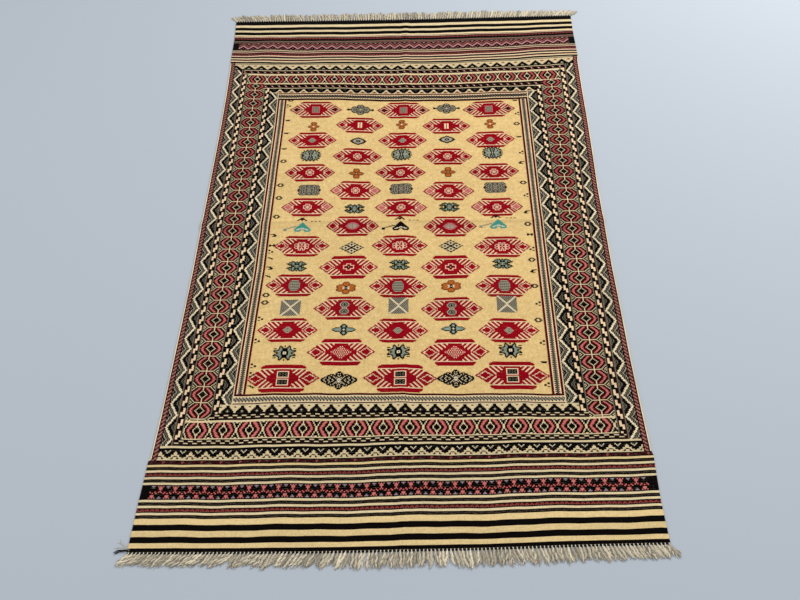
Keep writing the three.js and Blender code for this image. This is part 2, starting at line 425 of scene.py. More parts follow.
# Two rows of the narrow inner frame at the sides: dark line, pale dots, slanting hatch, dots and dark line
INNER_COLUMNS = [
    "DDcKGKKcDD",
    "DDcCKGCcDD",
]


def tile(chart, line, place):
    """The letter of a repeating chart at one line and place."""
    letters = chart[min(line, len(chart) - 1)]
    return letters[place % len(letters)]


def tile_from_inside(chart, place, stitch):
    """The same for a chart that starts at the field, where place counts from outside."""
    return tile(chart, len(chart) - 1 - place, stitch)


# The field's motifs. Each small one is its upper left quarter, with the middle row and column last.

SMALL_MOTIFS = {
    "grey_spiked": """
        .............KKK
        ............KKyy
        ...........KKyyK
        .......KKK.KyKKK
        ......KKyKKKKyGG
        .....KKyGyyKKGGG
        .....KyGGGGGyKGG
        KKK.KyGGGGKGGGGy
        KKKKKKyGGGGGGyyW
    """.split(),
    "orange_cross": """
        ....BBB
        ...BOOO
        ...BOOO
        ...BBOO
        ....BBO
        ..BBOBO
        BBOOOOW
        BOOOOWW
    """.split(),
    "grey_diamond": """
        .........K
        .......KKK
        .....KKKKy
        ...KKKKyyy
        ..KKKyyyyK
        .KKKyyyKKK
        KKKyyyyKKW
    """.split(),
    "green_star": """
        .......K...K
        ...K..KKK.KK
        ...KK.KgKKKg
        ....KKKggKgK
        .KKKgggyKKgK
        ..KKgKgygKgK
        .KgggKggyKKg
        KKKgggKggKKg
        ..KKggygggKy
        KKKKggyygyKy
    """.split(),
    "brown_petals": """
        ......BBB
        .....BOOO
        .....BOOO
        .....BOOO
        .....BBOO
        ..BBBBBBO
        .BOOOOOBB
        BBOOOOOBW
    """.split(),
    "grey_plate": """
        ...eGeGKGeGGe
        ..eGyGGyGGeGG
        .eGGGKyGGKGGy
        .KyGKGGeyGKGG
        ..eGGyKGGKyGe
        .eGyKGGGyGGGy
        eKGGGyKGGKGyG
        KeGKGGGyGGGGw
    """.split(),
    "green_cross": """
        .....KK...K
        ...KKddKdGK
        ..KdGdggdKd
        KKdGddggKdg
        KddKKKKgKgg
        .KKK.KKKggg
        .....KKdKgG
    """.split(),
    "four_diamonds": """
        ............K
        ...........KK
        .........KKCC
        ........KKCCK
        ......KKCCCKK
        .....KKKKKCCK
        ...KKCCCKKKCC
        ..KKCCKCCKKKK
        KKCCCKKKCCCKK
    """.split(),
    "green_lobes": """
        .....KKK..K
        ...KKdgKKdK
        ..KdgdggKdg
        KKdgddggKKd
        .KKKdKggKKd
        ...KKKdKggg
        .....KKdKGg
    """.split(),
    "orange_wings": """
        .......BBB
        ......BOOO
        ......BOOO
        ..BBBBBOOO
        BBOOOOOBOO
        BOOOOOOOBK
        BBOOOOWWKK
        .BOOOOOWKW
    """.split(),
    "hatched_square": """
        CWyKyKyKyK
        yCWyKyKyKy
        KyCWyKyKyK
        yKyCWyKyKy
        KyKyCWyKyK
        yKyKyCWyKy
        KyKyKyCWyK
        yKyKyKyCWy
        KyKyKyKyCW
        yKyKyKyKyW
    """.split(),
    "teal_petals": """
        ..........KK
        .........KKT
        ........KKTy
        ........KKTy
        ...KKKKKTKKK
        .KKTTTTyTKKy
        KTTTTyyTTKyW
    """.split(),
    "pointed_star": """
        ......K...K
        .....KKK..K
        .....KgKK..
        KKK..KggKKK
        ....KKggKKK
        KKKKKgggKKK
        KKgggggKKKK
        .KKKgggKKWW
        ...KKggKKWK
    """.split(),
    "dark_flower": """
        ...............KK
        ..............KKK
        .............KKCK
        ........KKKK.KKKK
        ......KKKCKKKKKCK
        .....KKKKKKCKKKKC
        ...KKKKCKKKKCKCKK
        .KKKCKKKCKKKKCKyW
        KKKCKKKCKKCKKKyWW
        KKCKKKCKKKKCKKKWK
    """.split(),
}

# The heart motif isn't the same above and below, so its left half is charted whole, with the middle last.
HEART = """
........K
.......KK
......KKK
.....KKKK
....KKKKK
...KKKKKK
..KKKKKKK
.KKKKKKWW
KKKKWWWWK
KKWWWKKK.
KKKKKKK..
.KKKKK...
""".split()
ROOF = """
.....DD
....DMD
...DMKM
..DM.DK
.DM...D
""".split()

# The rows of medallions from the far end to the near one: the figure in the middle, half the width in
# stitches, half the height in rows, the yarn inside the end diamonds, and the places in millimetres
MEDALLION_ROWS = [
    ("grey_box", 31, 13, "D", [(-290.9, 1432), (3.4, 1421), (291.8, 1421)]),
    ("two_bars", 28, 12, "R", [(-140.9, 1354.5), (145.7, 1343)]),
    ("grey_diamond", 28, 12, "R", [(-293.7, 1288.7), (1.4, 1281), (287, 1281)]),
    ("outlined", 28, 12, "R", [(-142.8, 1215), (144.7, 1209)]),
    ("outlined", 28, 12, "R", [(-289.9, 1149), (-3.4, 1143.3), (291.8, 1139.4)]),
    ("outlined", 28, 13, "P", [(-143.7, 1072.5), (145.7, 1064.7)]),
    ("outlined", 28, 12, "P", [(-288, 1010.4), (-1.4, 1002.7), (291.8, 998.8)]),
    ("pink_diamond", 28, 13, "R", [(-145.7, 932.9), (144.7, 926.1)]),
    ("four_boxes", 29, 13, "R", [(-292.8, 862), (-4.3, 858.2), (296.6, 850.4)]),
    ("cross", 30, 14, "R", [(-152.4, 786.4), (142.8, 780.6)]),
    ("trapezoid", 29, 13, "R", [(-301.4, 724.4), (-6.3, 715.6), (293.7, 710.8)]),
    ("figure_eight", 30, 13, "R", [(-157.2, 646.8), (140.9, 640)]),
    ("grey_diamond", 29, 13, "R", [(-308.2, 578.9), (-6.3, 572.1), (296.6, 569.2)]),
    ("lattice", 32, 14, "R", [(-158.2, 509.1), (147.6, 504.2)]),
    ("two_boxes", 34, 14, "R", [(-308.2, 433.5), (0.5, 429.6), (296.6, 433.5)]),
]

# The rows of small motifs between them: the motif, its place along and its places across
SMALL_ROWS = [
    ("grey_spiked", 1426, [-140, 148]),
    ("orange_cross", 1352, [-293, 0, 292]),
    ("grey_diamond", 1283, [-143, 146]),
    ("green_star", 1221, [-294, 0, 290]),
    ("brown_petals", 1143, [-143, 147]),
    ("grey_plate", 1077, [-287, 0, 292]),
    ("green_cross", 1001, [-143, 146]),
    ("heart", 931, [-296, -1, 290]),
    ("four_diamonds", 855, [-145, 146]),
    ("green_lobes", 790, [-301, -4, 294]),
    ("orange_wings", 714, [-155, 143]),
    ("hatched_square", 652, [-306, -6, 296]),
    ("teal_petals", 577, [-154, 145]),
    ("pointed_star", 508, [-309, -4, 296]),
    ("dark_flower", 426, [-159, 146]),
]

# Small hooks, dots and dashes beside the field's sides: how far along each one is, and its chart
SIDE_MARKS = {
    "dash": ["KKKKKK", ".KKKK."],
    "dots": ["KK...", "KK...", "...KK", "...KK", "KK..."],
    "loop": ["..KKKK..", ".KK..KK.", "KK....KK", ".KK..KK.", "..KKKK.."],
    "hook": ["KKKKK..", "...KKK.", "....KKK", "..KKKK."],
    "fret": ["KK..KK", "KKKKKK", "KK..KK"],
    "step": ["KKK...", "..KKK.", "....KK"],
}
LEFT_MARKS = [
    (1469, "loop"), (1442, "dots"), (1369, "dash"), (1312, "dash"), (1243, "dash"), (1193, "loop"),
    (1095, "loop"), (1047, "loop"), (974, "loop"), (903, "hook"), (865, "fret"), (845, "dots"), (816, "step"),
    (785, "hook"), (755, "step"), (693, "loop"), (667, "loop"), (616, "dots"), (549, "dots"), (475, "dots"),
    (449, "dots"), (412, "step"),
]
RIGHT_MARKS = [
    (1460, "dash"), (1400, "dots"), (1352, "loop"), (1290, "dash"), (1224, "dots"), (1180, "hook"),
    (1101, "loop"), (1052, "dots"), (985, "hook"), (941, "loop"), (899, "fret"), (850, "dots"), (812, "loop"),
    (770, "hook"), (721, "loop"), (664, "dots"), (610, "loop"), (543, "dots"), (480, "dash"), (420, "dots"),
]


def border_zigzag(place, line, wide, period, black_inside):
    """One stitch of a wide zigzag: a cream line with nested chevrons on both sides of it."""
    phase = (line % period) / period
    swing = 1 - abs(2 * phase - 1)
    centre = ZIGZAG_MARGIN + (wide - 2 * ZIGZAG_LINE_REACH) * swing
    offset = place - centre
    away = abs(offset)
    if away < ZIGZAG_LINE_REACH:
        return "W"
    is_black = offset > 0 if black_inside else offset < 0
    if not is_black:
        return CREAM_SIDE_HATCH[int(away - ZIGZAG_LINE_REACH) % len(CREAM_SIDE_HATCH)]
    if away < ZIGZAG_BLACK_REACH:
        return "K"
    return BLACK_SIDE_HATCH[int(away - ZIGZAG_BLACK_REACH) % len(BLACK_SIDE_HATCH)]


def border_guard(place, line):
    """One stitch of the side guards: stepped blocks in two columns."""
    step = line % GUARD_REPEAT
    first, end = OUTER_BLOCK if place < GUARD_WIDE / 2 else INNER_BLOCK
    return "c" if first <= step < end else "K"


def border_rope(place, line):
    """One stitch of the outer rope: pale slanting strokes on maroon between dark edges."""
    if place in (0, ROPE_WIDE - 1):
        return "h"
    return "o" if (line - place) % ROPE_REPEAT < ROPE_REPEAT / 2 else "M"


def side_octagon(across, line):
    """One stitch of the side octagons; across counts from their middle."""
    before = SIDE_OCTAGON_REPEAT // 2 - 1
    from_middle = (line + before) % SIDE_OCTAGON_REPEAT - before
    letter = SIDE_OCTAGON[abs(from_middle)][abs(across)]
    return "r" if letter == "P" and line > DARKER_ROSE_FROM else letter


def side_stitch(frame_index, place, line, phase):
    """A stitch of a side frame: place counts from its outer line, line from the field's first row."""
    if frame_index == 6:
        return INNER_COLUMNS[line % len(INNER_COLUMNS)][place]
    if frame_index == 5:
        return border_zigzag(place, line + 3, *INNER_ZIGZAG) if place < INNER_ZIGZAG[0] else "C"
    if frame_index == 4:
        return "GK"[place] if place < 2 else guard_or_line(place - 2, line + 4 + phase, "K")
    if frame_index == 3:
        return side_octagon(place - SIDE_OCTAGON_MIDDLE, line)
    if frame_index == 2:
        return guard_or_line(place, line + phase, "KG")
    if frame_index == 1:
        if place < OUTER_ZIGZAG[0]:
            return border_zigzag(place, line + 9 + phase, *OUTER_ZIGZAG)
        return "GM"[place - OUTER_ZIGZAG[0]]
    return border_rope(place - 1, line) if place else "W"


def guard_or_line(place, line, lines_beyond):
    """A stitch of the guard, or of the plain lines on its inner side."""
    return border_guard(place, line) if place < GUARD_WIDE else lines_beyond[place - GUARD_WIDE]


def end_octagon(line, stitch):
    """A stitch of the octagons along an end, which meet at forked uprights, or of the line beyond them."""
    if abs(line) >= len(END_OCTAGON):
        return "C"
    half = END_OCTAGON_REPEAT // 2
    across = (stitch - FIRST_END_OCTAGON + half) % END_OCTAGON_REPEAT - half
    return END_OCTAGON[abs(line)][abs(across)]


def near_stitch(frame_index, place, stitch):
    """A stitch of the near border; place counts rows inwards from the frame's outer line."""
    if frame_index == 6:
        return tile_from_inside(NEAR_INNER_LINES, place, stitch)
    if frame_index == 5:
        return tile_from_inside(SMALL_TRIANGLES, place, stitch)
    if frame_index == 4:
        return tile_from_inside(NEAR_GUARD, place, stitch)
    if frame_index == 3:
        return end_octagon(place - NEAR_OCTAGON_MIDDLE, stitch)
    if frame_index == 2:
        return tile_from_inside(NEAR_GUARD, place, stitch + OUTER_GUARD_SHIFT)
    if place < len(LARGE_TRIANGLES):
        return tile_from_inside(LARGE_TRIANGLES, place, stitch)
    return "C"


def far_stitch(frame_index, place, stitch):
    """A stitch of the far border, in the same way."""
    if frame_index == 6:
        return tile(FAR_INNER_LINES, place, stitch)
    if frame_index == 5:
        return tile(FAR_SMALL_TRIANGLES, place, stitch)
    if frame_index == 4:
        return tile_from_inside(FAR_INNER_GUARD, place, stitch)
    if frame_index == 3:
        letter = end_octagon(place - FAR_OCTAGON_MIDDLE, stitch)
        return "r" if letter == "P" else letter
    if frame_index == 2:
        return tile_from_inside(FAR_OUTER_GUARD, place, stitch + OUTER_GUARD_SHIFT)
    return tile(FAR_OUTER_LINES + FAR_LARGE_TRIANGLES, place, stitch)


def frame_index_at(starts, place, depth):
    """Which frame a place lies in, or one past the last beyond them all."""
    if place >= depth:
        return len(starts)
    return max(index for index, start in enumerate(starts) if place >= start)


def border_stitch(row, stitch):
    """A stitch anywhere in the border: an end frame runs through the corner that it shares with a side."""
    from_side = min(stitch, ALL_STITCHES - 1 - stitch)
    is_left = stitch < ALL_STITCHES / 2
    side_frame = frame_index_at(SIDE_STARTS, from_side, BORDER_STITCHES)
    from_near = row - NEAR_BAND_ROWS
    from_far = FAR_BORDER_END - 1 - row
    near_frame = frame_index_at(NEAR_STARTS, from_near, NEAR_BORDER_ROWS)
    far_frame = frame_index_at(FAR_STARTS, from_far, FAR_BORDER_ROWS)
    end_frame = min(near_frame, far_frame)
    if side_frame < end_frame:
        phase = 0 if is_left else RIGHT_SIDE_PHASE
        return side_stitch(side_frame, from_side - SIDE_STARTS[side_frame], row - FIELD_START, phase)
    if near_frame <= far_frame:
        return near_stitch(near_frame, from_near - NEAR_STARTS[near_frame], stitch)
    return far_stitch(far_frame, from_far - FAR_STARTS[far_frame], stitch)


def band_letters(bands):
    """The bands' rows one after another, each as its chart and the line in it."""
    return [(chart, line) for count, chart in bands for line in range(count)]


def band_stitch(chart, line, stitch):
    """A stitch of the banded ends, with a black block where the diamond band meets each edge."""
    at_edge = min(stitch, ALL_STITCHES - 1 - stitch) < EDGE_BLOCK_WIDE
    if chart in (DIAMOND_BAND, FAR_DIAMOND_BAND) and at_edge:
        return "K"
    return tile(chart, line, stitch)


# The medallions

MEDALLION_REACH = 31
END_DIAMOND_AT = 22.4
END_DIAMOND_WIDE = 7.8
END_DIAMOND_HIGH = 6.2
BODY_EDGE = [15, 13.6, 12.2, 11, 9.8, 8.6, 7.6, 6.8, 6.4, 6.6]
RIB_ENDS = [15, 16.3, 17.5, 18.7, 19.9, 21.1, 22.2, 22.6, 20.8, 18.4]
RIB_PITCH = 5
RIB_WIDE = 3
BAR_ENDS = [15.6, 17.4, 18.4, 18.4]

# The end diamonds' edge, outline and ring as shares of their size, the bars' thickness in rows, and how far
# the figure in the middle may reach
DIAMOND_EDGE = 1.05
DIAMOND_OUTLINE_FROM = 0.77
DIAMOND_RING_FROM = 0.6
THIN_BAR_ROWS = 3
THICK_BAR_ROWS = 4
THIN_BARS_UP_TO = 13
FIGURE_ROWS = 9
FIGURE_STITCHES = 11


def diamond_stitch(from_middle, core):
    """A stitch of an end diamond, by its distance from the diamond's middle as a share of its size."""
    if from_middle > DIAMOND_OUTLINE_FROM:
        return "R"
    return "c" if from_middle > DIAMOND_RING_FROM else core


def medallion_stitch(across, line, reach, high, core):
    """A stitch of the large red medallion: distances from its middle, in stitches and rows."""
    far_across = abs(across) * MEDALLION_REACH / reach
    far_line = abs(line)
    from_diamond = abs(far_across - END_DIAMOND_AT) / END_DIAMOND_WIDE + far_line / END_DIAMOND_HIGH
    if from_diamond <= DIAMOND_EDGE:
        return diamond_stitch(from_diamond, core)
    bar_lines = THICK_BAR_ROWS if high > THIN_BARS_UP_TO else THIN_BAR_ROWS
    from_top = high - far_line
    if from_top < bar_lines:
        return "R" if far_across <= BAR_ENDS[from_top] else " "
    if from_top == bar_lines:
        return "c" if far_across <= BAR_ENDS[0] else " "
    if far_across <= BODY_EDGE[far_line]:
        return "R"
    if far_across > RIB_ENDS[far_line]:
        return " "
    return "R" if (abs(across) - far_line) % RIB_PITCH < RIB_WIDE else "c"


# The figures in the medallions' middles: upper left quarters again, with blanks where the red shows
FIGURES = {
    "grey_box": ["PPPPP", "PGGGG", "PGyGy", "PGGGG", "PGyGy", "PGGGG"],
    "two_bars": ["cc.", "cc.", "cc.", "cc.", "cc."],
    "grey_diamond": ["...yy", "..yGG", ".yGyG", "yGyGy"],
    "outlined": ["..ppp", "..p..", "ppp.p", "p..pp", "p.ppp"],
    "pink_diamond": [".....PPP", "...PPsss", "..Pssyys", ".Pssyyys", "Pssyysys"],
    "four_boxes": ["....ppp.", "....p.p.", ".pppp.pp", "p..pp..p", "p..pp..p", ".pppppp."],
    "cross": ["...ppp", "...p..", "pppp.K", "p...KK", "p.KKKc"],
    "trapezoid": ["..yyyy", ".GKGKG", ".yyyyy", "GKGKGK", "yyyyyy", "GKGKGK", "yyyyyy"],
    "figure_eight": ["..yyy", ".yGKG", "yGKyK", "yKyKK", "yGKyK", ".yGKG", "..yyy", "..yGG"],
    "lattice": [
        "........c.", ".......P.P", "......c.c.", "....P.P.PP", "...c.c.c.c", ".PP.P.P.P.", "c.c.c.c.c.",
    ],
    "two_boxes": ["cccccc", "cKKKKK", "cKGKKG", "cKKGKK", "cKGKKG", "cKKKKK", "cccccc", "......"],
}


def figure_stitch(name, across, line):
    """A stitch of the small figure in a medallion's middle, or a blank where the red shows."""
    quarter = FIGURES[name]
    if abs(line) >= len(quarter) or abs(across) >= len(quarter[0]):
        return " "
    letter = quarter[len(quarter) - 1 - abs(line)][len(quarter[0]) - 1 - abs(across)]
    return " " if letter == "." else letter


SEARCH_STEPS = 12


def nearest_cell(across, along):
    """The stitch and row whose place is nearest to a point of the field."""
    stitch = BORDER_STITCHES + FIELD_STITCHES / 2
    row = FIELD_START + FIELD_ROWS / 2
    for _ in range(SEARCH_STEPS):
        here_across, here_along = plan_at(stitch, row)
        stitch += (across - float(here_across)) / STITCH_WIDE
        row += (along - float(here_along)) / ROW_LONG
    return int(round(stitch)), int(round(row))


def paint(chart, row, stitch, letter):
    """Writes one stitch into the rug's chart, unless the letter is a blank."""
    if letter not in " ." and FIELD_START <= row < FIELD_END:
        chart[row, stitch] = LETTERS.index(letter)


def paint_medallion(chart, centre, figure, reach, high, core):
    """A large red medallion with its figure in the middle."""
    middle_stitch, middle_row = nearest_cell(*centre)
    for line in range(-high, high + 1):
        for across in range(-reach, reach + 1):
            letter = medallion_stitch(across, line, reach, high, core)
            own = figure_stitch(figure, across, line)
            is_body = letter == "R" and abs(line) < FIGURE_ROWS and abs(across) < FIGURE_STITCHES
            paint(chart, middle_row + line, middle_stitch + across, own if is_body and own != " " else letter)


def paint_quarter(chart, centre, quarter):
    """A small motif from its upper left quarter, mirrored across and along."""
    middle_stitch, middle_row = nearest_cell(*centre)
    last_line = len(quarter) - 1
    for line in range(-last_line, last_line + 1):
        letters = quarter[last_line - abs(line)]
        last_place = len(letters) - 1
        for across in range(-last_place, last_place + 1):
            paint(chart, middle_row + line, middle_stitch + across, letters[last_place - abs(across)])


def paint_half(chart, centre, half, yarn, top_line):
    """A motif from its left half, in another yarn, its first line at the given height above the middle."""
    middle_stitch, middle_row = nearest_cell(*centre)
    for line, letters in enumerate(half):
        last_place = len(letters) - 1
        for across in range(-last_place, last_place + 1):
            letter = letters[last_place - abs(across)]
            letter = yarn if letter == "K" and yarn else letter
            paint(chart, middle_row + top_line - line, middle_stitch + across, letter)


def paint_heart(chart, centre, yarn):
    """The heart, its tail to the left and the small roof and dots above it."""
    middle_stitch, middle_row = nearest_cell(*centre)
    tail_yarn = "g" if yarn == "t" else "K"
    paint_half(chart, centre, HEART, yarn, 6)
    for step in range(11):
        paint(chart, middle_row + 1 - step // 3, middle_stitch - 7 - step, tail_yarn)
    for line in (-2, -3, -4):
        for across in (-19, -18, -17):
            paint(chart, middle_row + line, middle_stitch + across, tail_yarn)
    paint_half(chart, (centre[0] - 4, centre[1]), ROOF, None, 13)
    for across in (9, 10, 13, 14, 17, 18):
        paint(chart, middle_row + 8, middle_stitch + across, "M")


def paint_marks(chart, marks, first_stitch, direction):
    """The small hooks and dots beside one side of the field."""
    for along, name in marks:
        _, row = nearest_cell(0, along)
        for line, letters in enumerate(SIDE_MARKS[name]):
            for place, letter in enumerate(letters):
                paint(chart, row - line, first_stitch + direction * place, letter)


def paint_field(chart):
    """Everything inside the border."""
    for figure, reach, high, core, centres in MEDALLION_ROWS:
        for centre in centres:
            paint_medallion(chart, centre, figure, reach, high, core)
    for motif, along, places in SMALL_ROWS:
        for index, across in enumerate(places):
            if motif == "heart":
                paint_heart(chart, (across, along), "K" if index == 1 else "t")
            else:
                paint_quarter(chart, (across, along), SMALL_MOTIFS[motif])
    paint_marks(chart, LEFT_MARKS, BORDER_STITCHES + 1, 1)
    paint_marks(chart, RIGHT_MARKS, BORDER_STITCHES + FIELD_STITCHES - 2, -1)


def is_field(row, stitch):
    """Whether a stitch lies inside the border."""
    return FIELD_START <= row < FIELD_END and BORDER_STITCHES <= stitch < BORDER_STITCHES + FIELD_STITCHES


def rug_chart():
    """The whole rug, one letter's number for each stitch, from the near end up."""
    chart = np.zeros((ALL_ROWS, ALL_STITCHES), int)
    near_rows = band_letters(NEAR_BANDS)[::-1]
    far_rows = band_letters(FAR_BANDS)
    for row in range(ALL_ROWS):
        for stitch in range(ALL_STITCHES):
            if is_field(row, stitch):
                continue
            if row < NEAR_BAND_ROWS:
                letter = band_stitch(*near_rows[row], stitch)
            elif row >= FAR_BORDER_END:
                letter = band_stitch(*far_rows[row - FAR_BORDER_END], stitch)
            else:
                letter = border_stitch(row, stitch)
            chart[row, stitch] = LETTERS.index(letter)
    paint_field(chart)
    return chart


# Making meshes

def linear(colour):
    """Daylight colours to the renderer's linear ones."""
    share = np.asarray(colour, float) / 255
    return np.where(share <= 0.04045, share / 12.92, ((share + 0.055) / 1.055) ** 2.4)


YARN_COLOURS = np.array([(0, 0, 0)] + [linear(colour) for colour in YARNS.values()])


def make_mesh(name, points, quads, colours=None, stitch_places=None):
    """A mesh object from arrays of points and four-sided faces, with its colours and stitch counts."""
    mesh = bpy.data.meshes.new(name)
    mesh.vertices.add(len(points))
    mesh.vertices.foreach_set("co", np.ascontiguousarray(points, np.float32).ravel())
    mesh.loops.add(quads.size)
    mesh.loops.foreach_set("vertex_index", np.ascontiguousarray(quads, np.int32).ravel())
    mesh.polygons.add(len(quads))
    mesh.polygons.foreach_set("loop_start", np.arange(0, quads.size, 4, dtype=np.int32))
    mesh.polygons.foreach_set("use_smooth", np.ones(len(quads), bool))
    mesh.update(calc_edges=True)
    if colours is not None:
        attribute = mesh.color_attributes.new("yarn", "FLOAT_COLOR", "CORNER")
        corner = np.repeat(np.concatenate([colours, np.ones((len(colours), 1))], axis=1), 4, axis=0)
        attribute.data.foreach_set("color", corner.astype(np.float32).ravel())
    if stitch_places is not None:
        layer = mesh.uv_layers.new(name="stitches")
        layer.data.foreach_set("uv", stitch_places[quads.ravel()].astype(np.float32).ravel())
    place = bpy.data.objects.new(name, mesh)
    bpy.context.scene.collection.objects.link(place)
    return place


def plan_layer(piece):
    """A flat map of the piece as seen from above, which fills its square."""
    mesh = piece.data
    points = np.zeros(len(mesh.vertices) * 3, np.float32)
    mesh.vertices.foreach_get("co", points)
    plan = points.reshape(-1, 3)[:, :2]
    low = plan.min(axis=0)
    size = plan.max(axis=0) - low
    corners = np.zeros(len(mesh.loops), np.int32)
    mesh.loops.foreach_get("vertex_index", corners)
    layer = mesh.uv_layers.new(name="OFBake")
    layer.data.foreach_set("uv", (((plan - low) / size) * 0.98 + 0.01)[corners].ravel())


def run_starts(letters, first_stitch):
    """Where each run of one yarn starts in a row; runs are short where they cross the lengthwise crease."""
    starts = [0]
    for place in range(1, len(letters)):
        on_crease = abs(first_stitch + place - CREASE_STITCH) < NEAR_CREASE
        longest = LONGEST_RUN_ON_CREASE if on_crease else LONGEST_RUN
        if letters[place] != letters[place - 1] or place - starts[-1] >= longest:
            starts.append(place)
    return starts + [len(letters)]


def row_runs(chart, first_row, last_row, first_stitch, last_stitch):
    """Every run in a region, as its row, first stitch, end stitch and yarn."""
    runs = []
    for row in range(first_row, last_row):
        letters = chart[row, first_stitch:last_stitch]
        if not letters.any():
            continue
        starts = run_starts(letters, first_stitch)
        for begin, end in zip(starts[:-1], starts[1:]):
            if letters[begin]:
                runs.append((row, first_stitch + begin, first_stitch + end, letters[begin]))
    return np.array(runs)


def run_heights(rows):
    """How high the ridge of each row stands: patterned rows more than the plain stripes."""
    is_plain = (rows < NEAR_BAND_ROWS) | (rows >= FAR_BORDER_END)
    return np.where(is_plain, STRIPE_RIDGE_HIGH, RIDGE_HIGH)


def weave_piece(name, runs, seed):
    """The raised runs of one region as one mesh."""
    random = np.random.default_rng(seed)
    rows, begins, ends, yarns = runs.T
    count = len(runs)
    slant = np.where(rows % 2 == 0, STITCH_SLANT, -STITCH_SLANT)
    highs = run_heights(rows)
    points = []
    counts = []
    for stitch in (begins, ends):
        for share in RIDGE_SHARES:
            across, along = plan_at(stitch, rows + share)
            across = across + slant * (2 * share - 1)
            crest = 1 if 0 < share < 1 else 0
            lift = relief(across, along) + ROW_FOOT + highs * crest * (0.9 + 0.2 * random.random(count))
            points.append(to_frame(across, along, lift))
            counts.append(np.stack([stitch, rows + share], axis=-1))
    points = np.stack(points, axis=1).reshape(-1, 3)
    counts = np.stack(counts, axis=1).reshape(-1, 2)
    base = np.arange(count)[:, None] * 8
    quads = np.stack([base + np.array([k, k + 4, k + 5, k + 1]) for k in range(3)], axis=1).reshape(-1, 4)
    tone = 1 + 0.09 * (random.random(count) - 0.5) + abrash(rows)
    colours = np.repeat(YARN_COLOURS[yarns] * tone[:, None], 3, axis=0)
    piece = make_mesh(name, points, quads, colours, counts)
    plan_layer(piece)
    return piece


def abrash(rows):
    """The slow changes of shade from one dye lot to the next, along the rug."""
    return 0.05 * np.sin(rows * 0.071) + 0.035 * np.sin(rows * 0.27 + 1.1)


def ground_piece():
    """The plain cloth that everything lies on: a thin closed sheet with the folds of the solid."""
    stitch_steps = np.linspace(0, ALL_STITCHES, GROUND_COLUMNS)
    row_steps = np.linspace(0, ALL_ROWS, GROUND_LINES)
    stitch_grid, row_grid = np.meshgrid(stitch_steps, row_steps)
    across, along = plan_at(stitch_grid, row_grid)
    base = relief(across, along)
    columns = len(stitch_steps)
    lines = len(row_steps)
    upper = to_frame(across, along, base + GROUND_HIGH).reshape(-1, 3)
    lower = to_frame(across, along, base + GROUND_LOW).reshape(-1, 3)
    points = np.concatenate([upper, lower])
    level = len(upper)
    index = np.arange(level).reshape(lines, columns)
    top = np.stack([index[:-1, :-1], index[:-1, 1:], index[1:, 1:], index[1:, :-1]], axis=-1).reshape(-1, 4)
    bottom = top[:, ::-1] + level
    sides = [wall(index[0, :], level), wall(index[::-1, 0], level)]
    sides += [wall(index[-1, ::-1], level), wall(index[:, -1], level)]
    quads = np.concatenate([top, bottom] + sides)
    counts = np.stack([stitch_grid.ravel(), row_grid.ravel()], axis=-1)
    piece = make_mesh("ground_weave", points, quads, None, np.concatenate([counts, counts]))
    plan_layer(piece)
    return piece


def wall(edge, level):
    """The narrow faces between the upper and the lower sheet along one edge."""
    return np.stack([edge[:-1] + level, edge[1:] + level, edge[1:], edge[:-1]], axis=-1)


# Fringes

EDGING_GAP = 0.3
EDGING_WIDE = 5
STRANDS_PER_END = 140
STRAND_LONG = {"near": 37, "far": 40}
STRAND_LENGTH_SPREAD = 3
SIDE_MARGIN = 4
LEAN_SHARES = [0, 0.03, 0.12, 0.3, 0.42, 0.55, 0.7, 0.82, 0.97, 1]
LEANS = {
    "near": [-0.86, -0.78, -0.74, -0.62, -0.3, 0.02, 0.22, 0.34, 0.5, 0.72],
    "far": [-0.86, -0.6, -0.36, -0.16, -0.05, 0.02, 0.1, 0.34, 0.58, 0.82],
}
TURN_SHARES = [0, 0.38, 0.72, 1]
TURNS = [0.72, 0.92, 1.08, 1.16]
PLY_STATIONS = 13
PLY_SIDES = 5
SIDE_YARN_SIDES = 3
FIBRES = 5
FIBRES_AT_TIP = 3
FIBRE_RADII = [0.00032, 0.0003, 0.00025, 0.0001]

# A strand in millimetres: how far its tip may turn aside and drift, how deep its curl is, how thick its plies
# are along it, how far they turn round each other, and where the thinner yarns lie beside them
TIP_ASIDE = 14
TIP_DRIFT = 4.0
CURL_DEEP = 2.2
PLY_SHARES = [0, 0.2, 0.8, 1]
PLY_THICK = [1.2, 1.9, 1.9, 1.2]
PLY_TURN = 14
SIDE_YARN_PLACES = (-2.2, -1.5, -0.9, 0.9, 1.5, 2.2)

# The twined cord: its stations, the length of one turn, its radius in metres, its height and its swing
EDGING_STATIONS = 1120
EDGING_TURN = 8.9
EDGING_RADIUS = 0.00135
EDGING_MIDDLE = 1.7
EDGING_LIFT = 0.75
EDGING_ASIDE = 1.15

# The pale loops over the cord: their foot, height, length, start inwards of the strand, and radii in metres
LOOP_FOOT = 2.3
LOOP_HIGH = 1.05
LOOP_LONG = 4.6
LOOP_INWARDS = 2.4
LOOP_RADII = [0.0006, 0.0011, 0.0013, 0.0013, 0.0011, 0.0007]

YARN_MAP_SCALE = 400

# The colours of the fringe, of its pale loops and of the edging's cord
COTTON = (210, 198, 174)
PALE_COTTON = (226, 218, 200)
EDGING_YARN = (26, 23, 21)


def unevenness(index, channel):
    """The CAD's own small offset for a strand, between -1 and 1."""
    wave = math.sin(index * 12.9898 + channel * 78.233) * 43758.5453
    return 2 * (wave - math.floor(wave)) - 1


def end_line(end, across):
    """How far along the rug an end of the weave lies."""
    places = ZONE_LINES[0][1] if end == "near" else ZONE_LINES[-1][1]
    return float(np.interp(across, LINE_ACROSS, places))


def end_corners(end):
    """How far to each side an end of the weave reaches."""
    along = SIDE_ALONG[0] if end == "near" else SIDE_ALONG[-1]
    left = float(np.interp(along, SIDE_ALONG, SIDE_LEFT))
    right = float(np.interp(along, SIDE_ALONG, SIDE_RIGHT))
    return left, right


